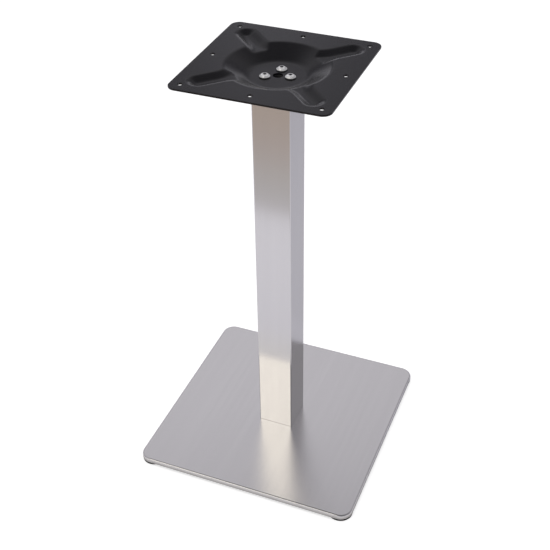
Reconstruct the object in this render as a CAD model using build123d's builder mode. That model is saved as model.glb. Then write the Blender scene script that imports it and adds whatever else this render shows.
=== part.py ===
from build123d import *
import math
import os

os.makedirs("parts", exist_ok=True)

# Overall sizes, in millimetres; the origin is on the floor under the middle of the base
height = 725.0
base_side = 400.0
base_corner_r = 22.0

# Sheet cover of the base and the heavy plate that it hides
cover_sheet = 1.2
cover_edge_r = 3.0
cover_bolt_hole_d = 9.0
ballast_thickness = 7.0
ballast_clearance = 0.5
skirt_lap = 0.3

# Levelling feet
pad_d = 43.0
pad_visible = 4.5
pad_edge_r = 0.6
pad_top_chamfer = 1.2
pad_sole = 1.5
stud_d = 8.0
stud_flange_d = 14.0
stud_flange_t = 1.5
stud_top_gap = 0.3
thread_clearance = 0.05

# Square column with a plate welded into each end
column_side = 63.0
column_wall = 1.5
column_corner_r = 2.0
top_flange_t = 6.0
bottom_flange_t = 8.0
flange_corner_r = 3.0

# Pressed mounting plate
plate_side = 250.0
plate_t = 3.0
plate_corner_r = 15.0
plate_edge_r = 0.5
corner_hole_pitch = 216.0
edge_hole_circle_d = 212.0
screw_hole_d = 8.0
centre_hole_d = 16.0
plate_bolt_hole_d = 9.0

# Form pressed into the mounting plate: a round dish and four arms towards the corners, flared at the dish
dish_depth = 17.5
dish_rim_d = 162.0
dish_floor_d = 92.0
dish_floor_bend_r = 24.0
arm_depth = 7.0
arm_reach = 141.0
arm_width = 34.0
arm_flare_r = 40.0
arm_flare_circle_d = 140.0
arm_wall_angle = 30.0
form_bend_r = 14.0
form_lip_r = 12.0

# Bolts of both column ends; the three holes are unevenly spaced on their circle
bolt_d = 8.0
bolt_circle_d = 40.0
bolt_angles = (0.0, 95.0, 213.0)
bolt_tip_chamfer = 0.8
hex_key = 5.0
button_head_d = 14.0
button_head_h = 3.2
button_flat_d = 7.4
button_dome_r = 4.5
button_land = 0.6
button_socket_depth = 2.0
button_bolt_overrun = 1.7
washer_d = 17.0
washer_bore_d = 8.4
washer_t = 1.6
washer_chamfer = 0.2
flat_head_d = 16.0
flat_head_sink = 0.3
flat_socket_depth = 2.8
flat_bolt_overrun = 0.1

# Levels from the floor up
cover_bottom_z = pad_visible
ballast_bottom_z = cover_bottom_z + skirt_lap
ballast_top_z = ballast_bottom_z + ballast_thickness
cover_top_z = ballast_top_z + cover_sheet
dish_top_z = height - dish_depth
column_top_z = dish_top_z - plate_t
rim_under_z = height - plate_t

# Slope of the dish's wall, from the horizontal
dish_wall_angle = math.degrees(math.atan2(dish_depth, (dish_rim_d - dish_floor_d) / 2))

# Sizes that follow from what the pieces fit in or go through
tube_inner_side = column_side - 2 * column_wall
ballast_inset = cover_sheet + ballast_clearance
stud_length = ballast_top_z - stud_top_gap - pad_sole
button_bolt_length = washer_t + plate_t + top_flange_t + button_bolt_overrun
flat_bolt_length = ballast_thickness - flat_head_sink + cover_sheet + bottom_flange_t + flat_bolt_overrun

# Places of the bolts and of the feet, which share the centres of the base's corner arcs
bolt_points = []
for angle in bolt_angles:
    along = math.radians(angle)
    bolt_points.append((bolt_circle_d / 2 * math.cos(along), bolt_circle_d / 2 * math.sin(along)))
foot_offset = base_side / 2 - base_corner_r
foot_points = [
    (-foot_offset, -foot_offset),
    (foot_offset, -foot_offset),
    (foot_offset, foot_offset),
    (-foot_offset, foot_offset),
]


def upright_section(x, y, z):
    """Plane for a turned piece's profile: local X is the radius and local Y is the height above z."""
    return Plane(origin=(x, y, z), x_dir=(1, 0, 0), z_dir=(0, -1, 0))


def upright_axis(x, y):
    """Axis of a turned piece that stands at x, y."""
    return Axis((x, y, 0), (0, 0, 1))


def lies_at(edge, z):
    """Whether the whole edge lies at the level z."""
    box = edge.bounding_box()
    return abs(box.min.Z - z) < 0.001 and abs(box.max.Z - z) < 0.001


def distance_out(edge):
    """Distance of the edge's middle from the plate's centre line."""
    middle = edge.position_at(0.5)
    return math.hypot(middle.X, middle.Y)


def within_arms(edge):
    """Whether the edge belongs to the pressed form, which ends where its arms do, and not to the rim."""
    middle = edge.position_at(0.5)
    return max(abs(middle.X), abs(middle.Y)) < (arm_reach + plate_t) / math.sqrt(2)


def pressed_form(skin):
    """The dish and arms as one solid: with skin 0 the hollow's inside, else its outside, skin away."""
    top_z = height - skin
    arm_floor_z = top_z - arm_depth
    dish_growth = skin * math.tan(math.radians(dish_wall_angle / 2))
    arm_growth = skin * math.tan(math.radians(arm_wall_angle / 2))
    with BuildPart() as form:
        with BuildSketch(Plane.XZ) as section:
            with BuildLine():
                Polyline(
                    (0, top_z),
                    (dish_rim_d / 2 + dish_growth, top_z),
                    (dish_floor_d / 2 + dish_growth, top_z - dish_depth),
                    (0, top_z - dish_depth),
                    close=True,
                )
            make_face()
            floor_corner = section.vertices().group_by(Axis.Y)[0].sort_by(Axis.X)[-1]
            fillet(floor_corner, radius=dish_floor_bend_r + skin)
        revolve(axis=Axis.Z)
        with BuildSketch(Plane.XY.offset(top_z)) as arms:
            flare_circle_r = arm_flare_circle_d / 2 + arm_growth
            Circle(flare_circle_r)
            for diagonal in (45, 135):
                SlotOverall(2 * (arm_reach + arm_growth), arm_width + 2 * arm_growth, rotation=diagonal)
            arm_roots = arms.vertices().filter_by(
                lambda vertex: abs(math.hypot(vertex.X, vertex.Y) - flare_circle_r) < 0.001
            )
            fillet(arm_roots, radius=arm_flare_r - arm_growth)
        extrude(amount=-arm_depth, taper=90 - arm_wall_angle)
        arm_floor_edges = form.edges().filter_by(lambda edge: lies_at(edge, arm_floor_z))
        neck_edges = form.edges().filter_by(
            lambda edge: edge.bounding_box().min.Z > arm_floor_z - 0.001
            and edge.bounding_box().max.Z > top_z - 0.001
            and edge.bounding_box().size.Z > arm_depth / 2
            and distance_out(edge) < dish_rim_d / 2
        )
        fillet(arm_floor_edges + neck_edges, radius=form_bend_r)
    return form.part


# Mounting plate: one pressed sheet
form_outside = pressed_form(plate_t)
form_inside = pressed_form(0)
with BuildPart() as top_plate:
    with BuildSketch(Plane.XY.offset(rim_under_z)):
        RectangleRounded(plate_side, plate_side, plate_corner_r)
    extrude(amount=plate_t)
    add(form_outside)
    add(form_inside, mode=Mode.SUBTRACT)
    upper_edges = top_plate.edges().filter_by(lambda edge: lies_at(edge, height))
    fillet(upper_edges.filter_by(within_arms), radius=form_lip_r)
    lower_edges = top_plate.edges().filter_by(lambda edge: lies_at(edge, rim_under_z))
    fillet(lower_edges.filter_by(within_arms), radius=form_lip_r - plate_t)
    rim_edges = top_plate.edges().filter_by(lambda edge: lies_at(edge, height) or lies_at(edge, rim_under_z))
    fillet(rim_edges.filter_by(within_arms, reverse=True), radius=plate_edge_r)
    with Locations((0, 0, height)):
        Hole(radius=centre_hole_d / 2)
        with GridLocations(corner_hole_pitch, corner_hole_pitch, 2, 2):
            Hole(radius=screw_hole_d / 2)
        with PolarLocations(edge_hole_circle_d / 2, 4):
            Hole(radius=screw_hole_d / 2)
        with Locations(*bolt_points):
            Hole(radius=plate_bolt_hole_d / 2)
top_plate.part.label = "top_plate"
export_step(top_plate.part, "parts/top_plate.step")

# Column: square tube from the base cover up to the underside of the dish
with BuildPart() as column_tube:
    with BuildSketch(Plane.XY.offset(cover_top_z)):
        RectangleRounded(column_side, column_side, column_corner_r)
        RectangleRounded(tube_inner_side, tube_inner_side, column_corner_r - column_wall, mode=Mode.SUBTRACT)
    extrude(amount=column_top_z - cover_top_z)
column_tube.part.label = "column_tube"
export_step(column_tube.part, "parts/column_tube.step")

# Plates welded into the tube's ends, flush with them, with tapped bolt holes and a centre hole
flange_places = {
    "column_top_flange": (column_top_z - top_flange_t, top_flange_t),
    "column_bottom_flange": (cover_top_z, bottom_flange_t),
}
for flange_name, (flange_z, flange_t) in flange_places.items():
    with BuildPart() as flange:
        with BuildSketch(Plane.XY.offset(flange_z)):
            RectangleRounded(tube_inner_side, tube_inner_side, flange_corner_r)
            Circle(centre_hole_d / 2, mode=Mode.SUBTRACT)
            with Locations(*bolt_points):
                Circle(bolt_d / 2 + thread_clearance, mode=Mode.SUBTRACT)
        extrude(amount=flange_t)
    flange.part.label = flange_name
    export_step(flange.part, f"parts/{flange_name}.step")

# Washers and button head bolts that hold the mounting plate to the column
for number, (x, y) in enumerate(bolt_points, start=1):
    with BuildPart() as top_washer:
        with BuildSketch(Plane.XY.offset(dish_top_z)):
            with Locations((x, y)):
                Circle(washer_d / 2)
                Circle(washer_bore_d / 2, mode=Mode.SUBTRACT)
        extrude(amount=washer_t)
        washer_rim = top_washer.edges().group_by(Axis.Z)[-1].sort_by(SortBy.LENGTH)[-1]
        chamfer(washer_rim, length=washer_chamfer)
    top_washer.part.label = f"top_washer_{number}"
    export_step(top_washer.part, f"parts/top_washer_{number}.step")

    head_seat_z = dish_top_z + washer_t
    with BuildPart() as top_bolt:
        with BuildSketch(upright_section(x, y, head_seat_z)):
            with BuildLine():
                crown = Line((0, button_head_h), (button_flat_d / 2, button_head_h))
                dome = RadiusArc(crown @ 1, (button_head_d / 2, button_land), button_dome_r)
                Polyline(
                    dome @ 1,
                    (button_head_d / 2, 0),
                    (bolt_d / 2, 0),
                    (bolt_d / 2, bolt_tip_chamfer - button_bolt_length),
                    (bolt_d / 2 - bolt_tip_chamfer, -button_bolt_length),
                    (0, -button_bolt_length),
                    crown @ 0,
                )
            make_face()
        revolve(axis=upright_axis(x, y))
        with BuildSketch(Plane((x, y, head_seat_z + button_head_h))):
            RegularPolygon(radius=hex_key / 2, side_count=6, major_radius=False)
        extrude(amount=-button_socket_depth, mode=Mode.SUBTRACT)
    top_bolt.part.label = f"top_bolt_{number}"
    export_step(top_bolt.part, f"parts/top_bolt_{number}.step")

# Base cover: one sheet with rounded, turned-down edges, open below
with BuildPart() as base_cover:
    with BuildSketch(Plane.XY.offset(cover_bottom_z)):
        RectangleRounded(base_side, base_side, base_corner_r)
    extrude(amount=cover_top_z - cover_bottom_z)
    fillet(base_cover.edges().group_by(Axis.Z)[-1], radius=cover_edge_r)
    offset(amount=-cover_sheet, openings=base_cover.faces().sort_by(Axis.Z)[0])
    with Locations((0, 0, cover_top_z)):
        with Locations(*bolt_points):
            Hole(radius=cover_bolt_hole_d / 2)
base_cover.part.label = "base_cover"
export_step(base_cover.part, "parts/base_cover.step")

# Ballast plate under the cover, tapped for the feet and countersunk from below for the column's bolts
with BuildPart() as ballast_plate:
    with BuildSketch(Plane.XY.offset(ballast_bottom_z)):
        ballast_side = base_side - 2 * ballast_inset
        RectangleRounded(ballast_side, ballast_side, base_corner_r - ballast_inset)
    extrude(amount=ballast_thickness)
    fillet(ballast_plate.edges().group_by(Axis.Z)[-1], radius=cover_edge_r - cover_sheet)
    with Locations((0, 0, ballast_top_z)):
        with Locations(*foot_points):
            Hole(radius=stud_d / 2 + thread_clearance)
    with Locations(Plane(origin=(0, 0, ballast_bottom_z), x_dir=(1, 0, 0), z_dir=(0, 0, -1))):
        with Locations(*[(x, -y) for x, y in bolt_points]):
            CounterSinkHole(cover_bolt_hole_d / 2, flat_head_d / 2 + flat_head_sink, counter_sink_angle=90)
ballast_plate.part.label = "ballast_plate"
export_step(ballast_plate.part, "parts/ballast_plate.step")

# Countersunk bolts from below, through ballast plate and cover into the column's lower plate
for number, (x, y) in enumerate(bolt_points, start=1):
    with BuildPart() as bottom_bolt:
        with BuildSketch(upright_section(x, y, ballast_bottom_z + flat_head_sink)):
            with BuildLine():
                Polyline(
                    (0, 0),
                    (flat_head_d / 2, 0),
                    (bolt_d / 2, (flat_head_d - bolt_d) / 2),
                    (bolt_d / 2, flat_bolt_length - bolt_tip_chamfer),
                    (bolt_d / 2 - bolt_tip_chamfer, flat_bolt_length),
                    (0, flat_bolt_length),
                    close=True,
                )
            make_face()
        revolve(axis=upright_axis(x, y))
        with BuildSketch(Plane((x, y, ballast_bottom_z + flat_head_sink))):
            RegularPolygon(radius=hex_key / 2, side_count=6, major_radius=False)
        extrude(amount=flat_socket_depth, mode=Mode.SUBTRACT)
    bottom_bolt.part.label = f"bottom_bolt_{number}"
    export_step(bottom_bolt.part, f"parts/bottom_bolt_{number}.step")

# Levelling feet: a moulded pad round the flange of a threaded stud, screwed fully into the ballast plate
for number, (x, y) in enumerate(foot_points, start=1):
    with BuildPart() as foot_stud:
        with BuildSketch(upright_section(x, y, pad_sole)):
            with BuildLine():
                Polyline(
                    (0, 0),
                    (stud_flange_d / 2, 0),
                    (stud_flange_d / 2, stud_flange_t),
                    (stud_d / 2, stud_flange_t),
                    (stud_d / 2, stud_length - bolt_tip_chamfer),
                    (stud_d / 2 - bolt_tip_chamfer, stud_length),
                    (0, stud_length),
                    close=True,
                )
            make_face()
        revolve(axis=upright_axis(x, y))
    foot_stud.part.label = f"foot_stud_{number}"
    export_step(foot_stud.part, f"parts/foot_stud_{number}.step")

    with BuildPart() as foot_pad:
        with BuildSketch(Plane.XY):
            with Locations((x, y)):
                Circle(pad_d / 2)
        extrude(amount=ballast_bottom_z)
        fillet(foot_pad.edges().group_by(Axis.Z)[0], radius=pad_edge_r)
        chamfer(foot_pad.edges().group_by(Axis.Z)[-1], length=pad_top_chamfer)
        with BuildSketch(Plane.XY.offset(pad_sole)):
            with Locations((x, y)):
                Circle(stud_flange_d / 2 + thread_clearance)
        extrude(amount=stud_flange_t + thread_clearance, mode=Mode.SUBTRACT)
        with Locations((x, y, ballast_bottom_z)):
            Hole(radius=stud_d / 2 + thread_clearance, depth=ballast_bottom_z - pad_sole)
    foot_pad.part.label = f"foot_pad_{number}"
    export_step(foot_pad.part, f"parts/foot_pad_{number}.step")
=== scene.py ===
"""Outdoor table base: a brushed stainless foot and column under a pressed black top plate."""

import math

import bpy
from mathutils import Matrix, Vector


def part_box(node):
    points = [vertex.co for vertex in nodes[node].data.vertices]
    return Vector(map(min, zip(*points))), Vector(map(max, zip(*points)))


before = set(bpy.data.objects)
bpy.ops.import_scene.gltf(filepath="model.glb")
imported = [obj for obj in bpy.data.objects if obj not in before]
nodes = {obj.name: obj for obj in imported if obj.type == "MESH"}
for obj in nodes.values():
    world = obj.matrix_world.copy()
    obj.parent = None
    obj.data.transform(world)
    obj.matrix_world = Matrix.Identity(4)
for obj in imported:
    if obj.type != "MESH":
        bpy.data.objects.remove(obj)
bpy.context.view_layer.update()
bpy.ops.object.select_all(action="DESELECT")


# Camera. It stands in front of the base and a little to the right, and looks down over the top plate
# to the foot, with the slight roll of a hand-held shot.
CAMERA_EYE = (0.527345, -1.302028, 1.393319)
CAMERA_RIGHT = (0.92791, 0.37258, -0.01256)
CAMERA_UP = (-0.21481, 0.5619, 0.79883)
CAMERA_LENS = 67.515
CAMERA_SENSOR = 36.0
CAMERA_NEAR = 0.05
CAMERA_FAR = 50.0

bpy.ops.object.camera_add(location=CAMERA_EYE)
camera = bpy.context.object
camera.name = "camera"
camera.data.sensor_width = CAMERA_SENSOR
camera.data.lens = CAMERA_LENS
camera.data.clip_start = CAMERA_NEAR
camera.data.clip_end = CAMERA_FAR
turned_right = Vector(CAMERA_RIGHT).normalized()
turned_back = turned_right.cross(Vector(CAMERA_UP)).normalized()
turned_up = turned_back.cross(turned_right)
turn = Matrix((turned_right, turned_up, turned_back)).transposed()
camera.matrix_world = Matrix.Translation(Vector(CAMERA_EYE)) @ turn.to_4x4()
bpy.context.scene.camera = camera


# Base cover. Stainless sheet, brushed so that its grain runs front to back, with rounded corners and
# edges folded down over the ballast plate. The column stands on it and clamps it to that plate.
STAINLESS = (0.668, 0.660, 0.664, 1)
STAINLESS_DARK = (0.646, 0.638, 0.643, 1)
SCRATCH_SHARE = 0.45
STREAK_SHARE = 0.55
SCRATCH_DEPTH = 0.00001

# Most values of a noise lie between these two.
NOISE_LOW = 0.3
NOISE_HIGH = 0.7

# Patterns are given as waves to the metre along x, y and z, so they stretch along the smallest number.
SHEET_SCRATCHES = (1400, 9, 1400)
SHEET_STREAKS = (120, 2.5, 120)
SHEET_ROUGHNESS = (0.222, 0.203)

# The slight tilt keeps this direction from standing square on the folded side edges.
SHEET_ACROSS = (1.0, 0.0, 0.02)


class Recipe:
    """Short ways to add and join the nodes of one tree."""

    def __init__(self, tree):
        self.tree = tree

    def add(self, kind, **settings):
        node = self.tree.nodes.new(kind)
        for key, value in settings.items():
            setattr(node, key, value)
        return node

    def join(self, output, target):
        self.tree.links.new(output, target)

    def level(self, value, low, high, new_low=0.0, new_high=1.0, **settings):
        """A pattern's value, carried from one range to another."""
        node = self.add("ShaderNodeMapRange", **settings)
        for socket, number in zip(node.inputs[1:5], (low, high, new_low, new_high)):
            socket.default_value = number
        self.join(value, node.inputs[0])
        return node.outputs[0]

    def blend(self, amount, first, second):
        """A colour that runs from the first to the second as the amount goes from 0 to 1."""
        node = self.add("ShaderNodeMix", data_type="RGBA")
        for colour, socket in ((first, node.inputs[6]), (second, node.inputs[7])):
            if isinstance(colour, tuple):
                socket.default_value = colour
            else:
                self.join(colour, socket)
        self.join(amount, node.inputs[0])
        return node.outputs[2]


class Finish(Recipe):
    """A new material with its shader, and the patterns that feed it."""

    def __init__(self, name):
        self.material = bpy.data.materials.new(name)
        self.material.use_nodes = True
        super().__init__(self.material.node_tree)
        self.shader = self.tree.nodes["Principled BSDF"]

    def set(self, **values):
        for socket, value in values.items():
            self.shader.inputs[socket.replace("_", " ")].default_value = value

    def place(self, scale, centre=(0, 0, 0)):
        """Object coordinates, centred and stretched for one pattern."""
        coordinates = self.add("ShaderNodeTexCoord")
        mapping = self.add("ShaderNodeMapping")
        mapping.inputs["Scale"].default_value = scale
        mapping.inputs["Location"].default_value = centre
        self.join(coordinates.outputs["Object"], mapping.inputs["Vector"])
        return mapping.outputs["Vector"]

    def along(self, axis):
        """How far along x, y or z a point lies."""
        node = self.add("ShaderNodeSeparateXYZ")
        self.join(self.place((1, 1, 1)), node.inputs[0])
        return node.outputs[axis]

    def from_axis(self, x, y):
        """How far a point lies from the upright axis through x, y."""
        node = self.add("ShaderNodeVectorMath", operation="LENGTH")
        self.join(self.place((1, 1, 0), centre=(-x, -y, 0)), node.inputs[0])
        return node.outputs["Value"]

    def noise(self, scale, detail=2.0, roughness=0.5):
        node = self.add("ShaderNodeTexNoise")
        node.inputs["Scale"].default_value = 1.0
        node.inputs["Detail"].default_value = detail
        node.inputs["Roughness"].default_value = roughness
        self.join(self.place(scale), node.inputs["Vector"])
        return node.outputs["Fac"]

    def sum(self, first, second):
        node = self.add("ShaderNodeMath", operation="ADD")
        self.join(first, node.inputs[0])
        self.join(second, node.inputs[1])
        return node.outputs[0]

    def shade(self, amount, first, second):
        """The base colour runs from the first colour to the second with a pattern's value."""
        self.colour = self.blend(amount, first, second)
        self.join(self.colour, self.shader.inputs["Base Color"])

    def roughen(self, pattern, low, high, first, second):
        """The roughness runs from the first number to the second as a pattern rises from low to high."""
        self.join(self.level(pattern, low, high, first, second), self.shader.inputs["Roughness"])

    def bump(self, height, distance, strength=1.0, below=None):
        node = self.add("ShaderNodeBump")
        node.inputs["Strength"].default_value = strength
        node.inputs["Distance"].default_value = distance
        self.join(height, node.inputs["Height"])
        if below is not None:
            self.join(below, node.inputs["Normal"])
        self.join(node.outputs["Normal"], self.shader.inputs["Normal"])
        return node.outputs["Normal"]

    def give(self, *names):
        """Every slot of these nodes gets the material."""
        for name in names:
            for slot in nodes[name].material_slots:
                slot.material = self.material


def brushed(name, fine, broad, across, rough):
    """Sanded stainless: hair-fine scratches and broader soft streaks along the grain, and a gloss
    that spreads across it."""
    made = Finish(name)
    made.set(Metallic=1.0, Anisotropic=0.75)
    scratches = made.noise(fine, detail=3.0, roughness=0.62)
    streaks = made.noise(broad)
    fine_share = made.level(scratches, NOISE_LOW, NOISE_HIGH, 0.0, SCRATCH_SHARE)
    broad_share = made.level(streaks, NOISE_LOW, NOISE_HIGH, 0.0, STREAK_SHARE)
    both = made.sum(fine_share, broad_share)
    made.shade(both, STAINLESS_DARK, STAINLESS)
    made.roughen(both, 0.0, 1.0, *rough)
    made.bump(scratches, SCRATCH_DEPTH, strength=0.35)
    direction = made.add("ShaderNodeCombineXYZ")
    for socket, number in zip(direction.inputs, across):
        socket.default_value = number
    made.join(direction.outputs[0], made.shader.inputs["Tangent"])
    return made


sheet = brushed("brushed_sheet", SHEET_SCRATCHES, SHEET_STREAKS, SHEET_ACROSS, SHEET_ROUGHNESS)
sheet.give("base_cover")


# Column. A square stainless tube, polished along its length by the belt, so its grain runs upright
# and it mirrors the floor. At its foot a fine dark line is painted, shade in the crease where it meets
# the cover.
TUBE_SCRATCHES = (1400, 1400, 9)
TUBE_STREAKS = (110, 110, 1.5)
TUBE_ROUGHNESS = (0.165, 0.140)
JOINT_HEIGHT = 0.0006
JOINT_PAINTED_SHADE = (0.10, 0.098, 0.095, 1)

# This direction runs level, so it lies across the grain on all four sides.
TUBE_ACROSS = (1.0, 1.0, 0.0)

tube_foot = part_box("column_tube")[0].z
tube = brushed("brushed_tube", TUBE_SCRATCHES, TUBE_STREAKS, TUBE_ACROSS, TUBE_ROUGHNESS)
above_joint = tube.level(tube.along("Z"), tube_foot, tube_foot + JOINT_HEIGHT)
# A thin band at the tube's foot is painted dark: painted shade where the column meets the cover.
tube.shade(above_joint, JOINT_PAINTED_SHADE, tube.colour)
tube.give("column_tube")


# Flanges. Steel plates cut to fit and welded into the two ends of the tube, left as they came from
# the mill, with the cloudy grey scale of hot rolling.
MILL_DARK = (0.24, 0.24, 0.25, 1)
MILL_LIGHT = (0.46, 0.46, 0.47, 1)
MILL_SCALE = (60, 60, 60)
MILL_ROUGHNESS = (0.50, 0.38)
MILL_GRAIN = (900, 900, 900)
MILL_GRAIN_DEPTH = 0.00003

# The middle values of a noise, between which a clear change of colour runs.
CLOUD_LOW = 0.35
CLOUD_HIGH = 0.65

mill = Finish("mill_steel")
mill.set(Metallic=1.0)
mill_scale = mill.noise(MILL_SCALE, detail=6.0, roughness=0.6)
mill.shade(mill.level(mill_scale, CLOUD_LOW, CLOUD_HIGH), MILL_DARK, MILL_LIGHT)
mill.roughen(mill_scale, NOISE_LOW, NOISE_HIGH, *MILL_ROUGHNESS)
mill.bump(mill.noise(MILL_GRAIN, detail=3.0), MILL_GRAIN_DEPTH, strength=0.5)
mill.give("column_top_flange", "column_bottom_flange")


# Ballast plate. Thick flame-cut steel that fills the cover from below, under a matt black primer. It
# takes the bottom bolts and carries the four feet.
PRIMER_DARK = (0.020, 0.020, 0.022, 1)
PRIMER_LIGHT = (0.042, 0.042, 0.045, 1)
PRIMER_PATCHES = (30, 30, 30)
PRIMER_ROUGHNESS = (0.72, 0.58)
PRIMER_GRAIN = (1200, 1200, 1200)
PRIMER_GRAIN_DEPTH = 0.00004

primer = Finish("matt_primer")
primer.set(Metallic=0.0, IOR=1.5)
patches = primer.noise(PRIMER_PATCHES, detail=5.0, roughness=0.6)
primer.shade(primer.level(patches, CLOUD_LOW, CLOUD_HIGH), PRIMER_DARK, PRIMER_LIGHT)
primer.roughen(patches, NOISE_LOW, NOISE_HIGH, *PRIMER_ROUGHNESS)
primer.bump(primer.noise(PRIMER_GRAIN), PRIMER_GRAIN_DEPTH, strength=0.6)
primer.give("ballast_plate")


# Fasteners. Bright zinc on steel: button head bolts with painted shade in their sockets, punched
# washers with painted shade on their rim, countersunk bolts below, and the screws of the feet.
ZINC_DARK = (0.66, 0.66, 0.665, 1)
ZINC_LIGHT = (0.80, 0.80, 0.795, 1)
ZINC_TURNING = (500, 500, 2500)
ZINC_TURNING_DEPTH = 0.00001
ZINC_ROUGHNESS = (0.34, 0.22)
PAINTED_SHADE = (0.035, 0.034, 0.033, 1)
SOCKET_R = (0.0027, 0.0031)
WASHER_RIM_R = (0.0078, 0.0082)


def zinc(name):
    """Zinc plating with the fine marks of turning and cold heading."""
    made = Finish(name)
    made.set(Metallic=0.55, IOR=1.4)
    turning = made.noise(ZINC_TURNING, detail=3.0)
    made.shade(made.level(turning, NOISE_LOW, NOISE_HIGH), ZINC_DARK, ZINC_LIGHT)
    made.roughen(turning, NOISE_LOW, NOISE_HIGH, *ZINC_ROUGHNESS)
    made.bump(turning, ZINC_TURNING_DEPTH, strength=0.4)
    return made


plated = zinc("zinc_plate")
plated.give("bottom_bolt_1", "bottom_bolt_2", "bottom_bolt_3")
plated.give("foot_stud_1", "foot_stud_2", "foot_stud_3", "foot_stud_4")

for number in (1, 2, 3):
    low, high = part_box(f"top_bolt_{number}")
    centre = (low + high) / 2
    bolt = zinc(f"zinc_bolt_{number}")
    out_of_socket = bolt.level(bolt.from_axis(centre.x, centre.y), *SOCKET_R)
    # The socket is painted dark: painted shade in the recess of the head.
    bolt.shade(out_of_socket, PAINTED_SHADE, bolt.colour)
    bolt.give(f"top_bolt_{number}")
    washer = zinc(f"zinc_washer_{number}")
    onto_rim = washer.level(washer.from_axis(centre.x, centre.y), *WASHER_RIM_R)
    # The outer rim of the washer is painted dark: painted shade on its edge and where it stands on the
    # plate.
    washer.shade(onto_rim, washer.colour, PAINTED_SHADE)
    washer.give(f"top_washer_{number}")


# Levelling feet. Black nylon pads moulded on their screws, with the fine grain of the mould. They
# screw in and out of the ballast plate to level the base.
NYLON_DARK = (0.0035, 0.0035, 0.0038, 1)
NYLON_LIGHT = (0.0070, 0.0070, 0.0074, 1)
NYLON_GRAIN = (1800, 1800, 1800)
NYLON_GRAIN_DEPTH = 0.00005
NYLON_ROUGHNESS = (0.56, 0.46)

nylon = Finish("black_nylon")
nylon.set(Metallic=0.0, IOR=1.12)
grain = nylon.noise(NYLON_GRAIN)
nylon.shade(nylon.level(grain, CLOUD_LOW, CLOUD_HIGH), NYLON_DARK, NYLON_LIGHT)
nylon.roughen(grain, NOISE_LOW, NOISE_HIGH, *NYLON_ROUGHNESS)
nylon.bump(grain, NYLON_GRAIN_DEPTH, strength=0.5)
nylon.give("foot_pad_1", "foot_pad_2", "foot_pad_3", "foot_pad_4")


# Top plate. Steel sheet pressed to a dish with four arms, drilled, and powder coated satin black with
# the slight orange peel of a baked coat. Three bolts hold it down on the column's top flange.
COAT_DARK = (0.0046, 0.0044, 0.0055, 1)
COAT_LIGHT = (0.0066, 0.0063, 0.0077, 1)
COAT_PEEL = (420, 420, 420)
COAT_PEEL_DEPTH = 0.00004
COAT_FLOW = (24, 24, 24)
COAT_WAVES = (11, 11, 11)
COAT_WAVES_DEPTH = 0.0007
COAT_ROUGHNESS = (0.27, 0.22)

# The peel and the flow added together mostly lie between these two.
COAT_BOTH_LOW = 0.7
COAT_BOTH_HIGH = 1.3

coat = Finish("black_powder_coat")
coat.set(Metallic=0.0, IOR=1.36, Sheen_Weight=0.17, Sheen_Roughness=0.28)
peel = coat.noise(COAT_PEEL)
flow = coat.noise(COAT_FLOW, detail=3.0)
coat.shade(coat.level(flow, NOISE_LOW, NOISE_HIGH), COAT_DARK, COAT_LIGHT)
coat.roughen(coat.sum(peel, flow), COAT_BOTH_LOW, COAT_BOTH_HIGH, *COAT_ROUGHNESS)
waves = coat.bump(coat.noise(COAT_WAVES, detail=1.0), COAT_WAVES_DEPTH, strength=0.6)
coat.bump(peel, COAT_PEEL_DEPTH, strength=0.5, below=waves)
coat.give("top_plate")


# Floor. A plain pale studio floor that keeps the soft shadow of the base, lifted to white for the
# camera. The steel mirrors the floor's own colours: pale paper, darker past the edge near the camera
# and in a band behind the base, with a painted shadow close around the base.
FLOOR_HALF = 9.0
FLOOR_WHITE = (0.6, 0.6, 0.6, 1)

# How much glow is added to that white near the base and far from it, and the two distances.
FLOOR_LIFT = (0.62, 0.95)
FLOOR_LIFT_FROM = (1.5, 4.5)

# The floor's own colours, from the front to the back, each with its place along y.
FLOOR_STRIPS = (
    (-1.20, (0.590, 0.502, 0.432, 1)),
    (-1.00, (0.596, 0.524, 0.482, 1)),
    (-0.84, (0.630, 0.605, 0.585, 1)),
    (-0.715, (0.650, 0.635, 0.645, 1)),
    (-0.70, (0.960, 0.955, 1.000, 1)),
    (-0.30, (0.960, 0.955, 1.000, 1)),
    (-0.22, (1.000, 0.985, 0.970, 1)),
    (0.05, (0.930, 0.920, 0.985, 1)),
    (0.30, (0.690, 0.684, 0.728, 1)),
    (1.20, (0.690, 0.684, 0.728, 1)),
    (1.45, (1.000, 0.995, 1.000, 1)),
)

# Painted shadow: where the base stands close over the floor, the mirrored floor darkens from its own
# colour to this one, as the share of open room above it falls from the second number to the first.
FLOOR_PAINTED_SHADOW = (0.10, 0.098, 0.10, 1)
CREVICE_REACH = 0.014
CREVICE_OPEN = (0.40, 0.97)

bpy.ops.mesh.primitive_plane_add(size=2 * FLOOR_HALF, location=(0, 0, 0))
floor = bpy.context.object
floor.name = "floor"
bpy.ops.object.select_all(action="DESELECT")

paper = Finish("floor")
paper.set(Metallic=0.0, Roughness=0.9, IOR=1.3)
front = FLOOR_STRIPS[0][0]
back = FLOOR_STRIPS[-1][0]
strips = paper.add("ShaderNodeValToRGB")
paper.join(paper.level(paper.along("Y"), front, back), strips.inputs[0])

# A new colour ramp already has two stops, which the first two strips take.
stops = strips.color_ramp.elements
for number, (y, colour) in enumerate(FLOOR_STRIPS):
    place = (y - front) / (back - front)
    stop = stops[number] if number < 2 else stops.new(place)
    stop.position = place
    stop.color = colour

opening = paper.add("ShaderNodeAmbientOcclusion")
opening.inputs["Distance"].default_value = CREVICE_REACH
clear = paper.level(opening.outputs["AO"], *CREVICE_OPEN)
# The floor's own colour is painted darker close around and under the base: a painted contact shadow.
paper.shade(clear, FLOOR_PAINTED_SHADOW, strips.outputs["Color"])

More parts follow.
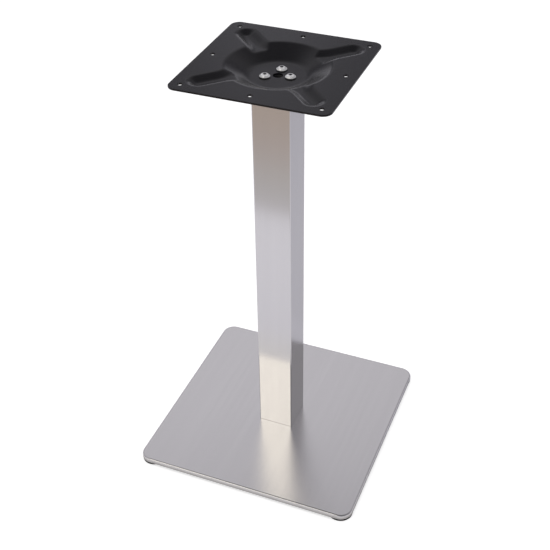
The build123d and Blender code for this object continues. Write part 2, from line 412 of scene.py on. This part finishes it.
seen = paper.add("ShaderNodeBsdfDiffuse")
seen.inputs["Color"].default_value = FLOOR_WHITE
lift = paper.add("ShaderNodeEmission")
lifted = paper.level(paper.from_axis(0, 0), *FLOOR_LIFT_FROM, *FLOOR_LIFT)
paper.join(lifted, lift.inputs["Strength"])
white_floor = paper.add("ShaderNodeAddShader")
paper.join(seen.outputs[0], white_floor.inputs[0])
paper.join(lift.outputs[0], white_floor.inputs[1])
looker = paper.add("ShaderNodeLightPath")
choice = paper.add("ShaderNodeMixShader")
paper.join(looker.outputs["Is Camera Ray"], choice.inputs[0])
paper.join(paper.shader.outputs[0], choice.inputs[1])
paper.join(white_floor.outputs[0], choice.inputs[2])
paper.join(choice.outputs[0], paper.tree.nodes["Material Output"].inputs["Surface"])
floor.data.materials.append(paper.material)


# Light. An even pale room, darker on the right, with a bright horizon, a dim low wall on which one
# strip glows, and a dark ceiling. A warm soft box stands in front on the left, and a wide soft light
# hangs overhead.
ROOM_LEFT = (0.785, 0.768, 0.808, 1)
ROOM_RIGHT = (0.432, 0.419, 0.440, 1)
CEILING = (0.16, 0.158, 0.165, 1)
LOW_WALL = (0.165, 0.162, 0.186, 1)
LOW_GLOW = (0.54, 0.528, 0.585, 1)
HORIZON = (0.86, 0.845, 0.91, 1)
WHITE = (1, 1, 1, 1)

# Places on the room's wall, as the x or z of the direction that looks at them, from -1 to 1.
ROOM_TURNS = (-0.35, 0.35)
CEILING_FROM = (0.66, 0.98)
LOW_WALL_TO = (0.41, 0.60)
LOW_GLOW_AT = -0.35
LOW_GLOW_HALF = 0.09
HORIZON_TO = (0.14, 0.38)

SOFT_BOX_PLACE = (-1.12, -2.40, 2.24)
SOFT_BOX_SIZE = 1.7
SOFT_BOX_LEVEL = 1.42
SOFT_BOX_COLOUR = (1.0, 0.935, 0.765)
OVERHEAD_PLACE = (0.0, 0.0, 3.0)
OVERHEAD_SIZE = 2.6
OVERHEAD_LEVEL = 2.4
OVERHEAD_COLOUR = (1.0, 1.0, 1.0)
AIM = (0.0, 0.0, 0.2)


def soft_light(name, place, size, level, colour, mirrored):
    """A square soft box that faces the middle of the base and has this brightness."""
    bpy.ops.object.light_add(type="AREA", location=place)
    light = bpy.context.object
    light.name = name
    light.data.shape = "SQUARE"
    light.data.size = size
    light.data.energy = level * math.pi * size * size
    light.data.color = colour
    light.rotation_mode = "QUATERNION"
    light.rotation_quaternion = (Vector(AIM) - Vector(place)).to_track_quat("-Z", "Y")
    light.visible_camera = False
    light.visible_glossy = mirrored


soft_light("soft_box", SOFT_BOX_PLACE, SOFT_BOX_SIZE, SOFT_BOX_LEVEL, SOFT_BOX_COLOUR, mirrored=True)
soft_light("overhead", OVERHEAD_PLACE, OVERHEAD_SIZE, OVERHEAD_LEVEL, OVERHEAD_COLOUR, mirrored=False)

world = bpy.data.worlds.new("room")
bpy.context.scene.world = world
world.use_nodes = True
world.node_tree.nodes.clear()
room = Recipe(world.node_tree)


def ease(value, low, high):
    """Runs softly from 0 at the low value to 1 at the high one."""
    return room.level(value, low, high, interpolation_type="SMOOTHSTEP")


heading = room.add("ShaderNodeTexCoord")
way = room.add("ShaderNodeSeparateXYZ")
room.join(heading.outputs["Generated"], way.inputs[0])
across = way.outputs["X"]
upward = way.outputs["Z"]
off_glow = room.add("ShaderNodeMath", operation="SUBTRACT")
off_glow.inputs[1].default_value = LOW_GLOW_AT
room.join(across, off_glow.inputs[0])
aside = room.add("ShaderNodeMath", operation="ABSOLUTE")
room.join(off_glow.outputs[0], aside.inputs[0])

high_walls = room.blend(ease(across, *ROOM_TURNS), ROOM_LEFT, ROOM_RIGHT)
glowing = room.blend(ease(aside.outputs[0], 0.0, LOW_GLOW_HALF), LOW_GLOW, LOW_WALL)
low_walls = room.blend(ease(upward, *HORIZON_TO), HORIZON, glowing)
walls = room.blend(ease(upward, *LOW_WALL_TO), low_walls, high_walls)
whole = room.blend(ease(upward, *CEILING_FROM), walls, CEILING)

# The camera sees plain white in place of the room.
mirrored_room = room.add("ShaderNodeBackground")
room.join(whole, mirrored_room.inputs["Color"])
white_room = room.add("ShaderNodeBackground")
white_room.inputs["Color"].default_value = WHITE
seen_by = room.add("ShaderNodeLightPath")
backdrop = room.add("ShaderNodeMixShader")
room.join(seen_by.outputs["Is Camera Ray"], backdrop.inputs[0])
room.join(mirrored_room.outputs[0], backdrop.inputs[1])
room.join(white_room.outputs[0], backdrop.inputs[2])
room.join(backdrop.outputs[0], room.add("ShaderNodeOutputWorld").inputs["Surface"])

bpy.context.scene.view_settings.view_transform = "Standard"
